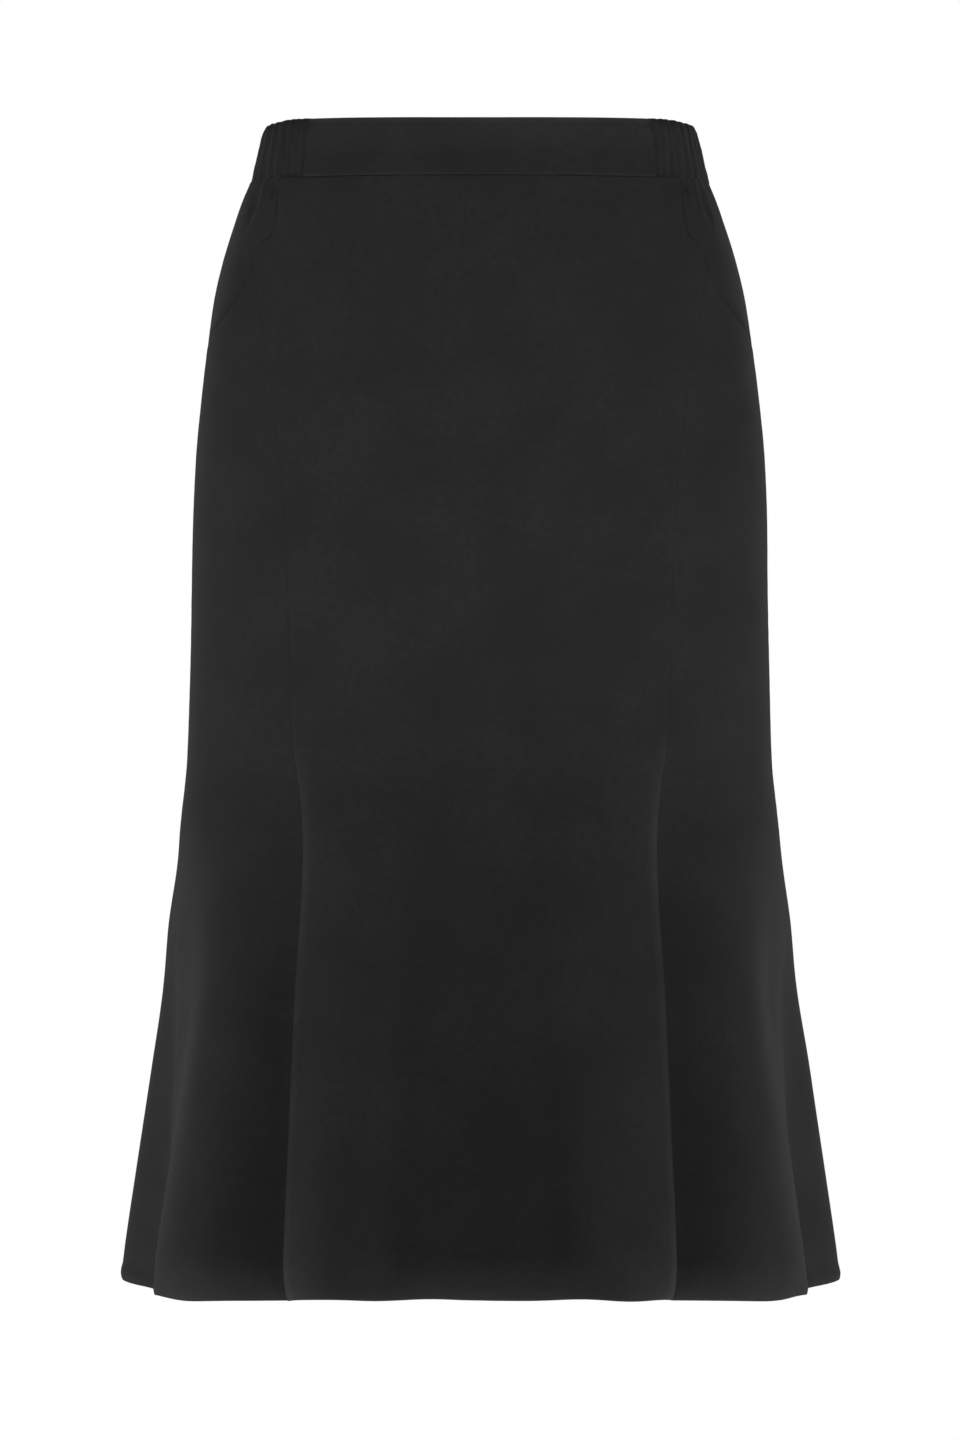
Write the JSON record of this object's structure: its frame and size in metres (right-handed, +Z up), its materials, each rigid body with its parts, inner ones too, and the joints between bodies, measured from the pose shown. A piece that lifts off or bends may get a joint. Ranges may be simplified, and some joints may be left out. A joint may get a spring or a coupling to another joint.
{
  "type": "flared skirt",
  "caption": "Knee-length trumpet skirt in worn shape: gored, close over the hips, flared hem, flat-fronted part-elastic waistband and slanted hip pocket mouths.",
  "frame": {"origin": "centre of the waist opening, at half the waistband's height, where the wearer's waist holds the skirt", "axes": "+Z up through the waist opening, -Y the way the wearer faces, +X the wearer's left"},
  "size_m": [0.4366, 0.3581, 0.6971],
  "materials": {
    "crepe": "matt black crepe with a faint sheen at grazing angles",
    "waistband": "matt black crepe, double thickness, gathered over elastic at the sides and back"
  },
  "bodies": {
    "root": {"waistband_front": "waistband", "waistband_elastic": "waistband", "front_centre": "crepe", "front_side_left": "crepe", "front_side_right": "crepe", "pocket_yoke_left": "crepe", "pocket_yoke_right": "crepe", "back_side_left": "crepe", "back_side_right": "crepe", "back_centre": "crepe"}
  },
  "joints": []
}
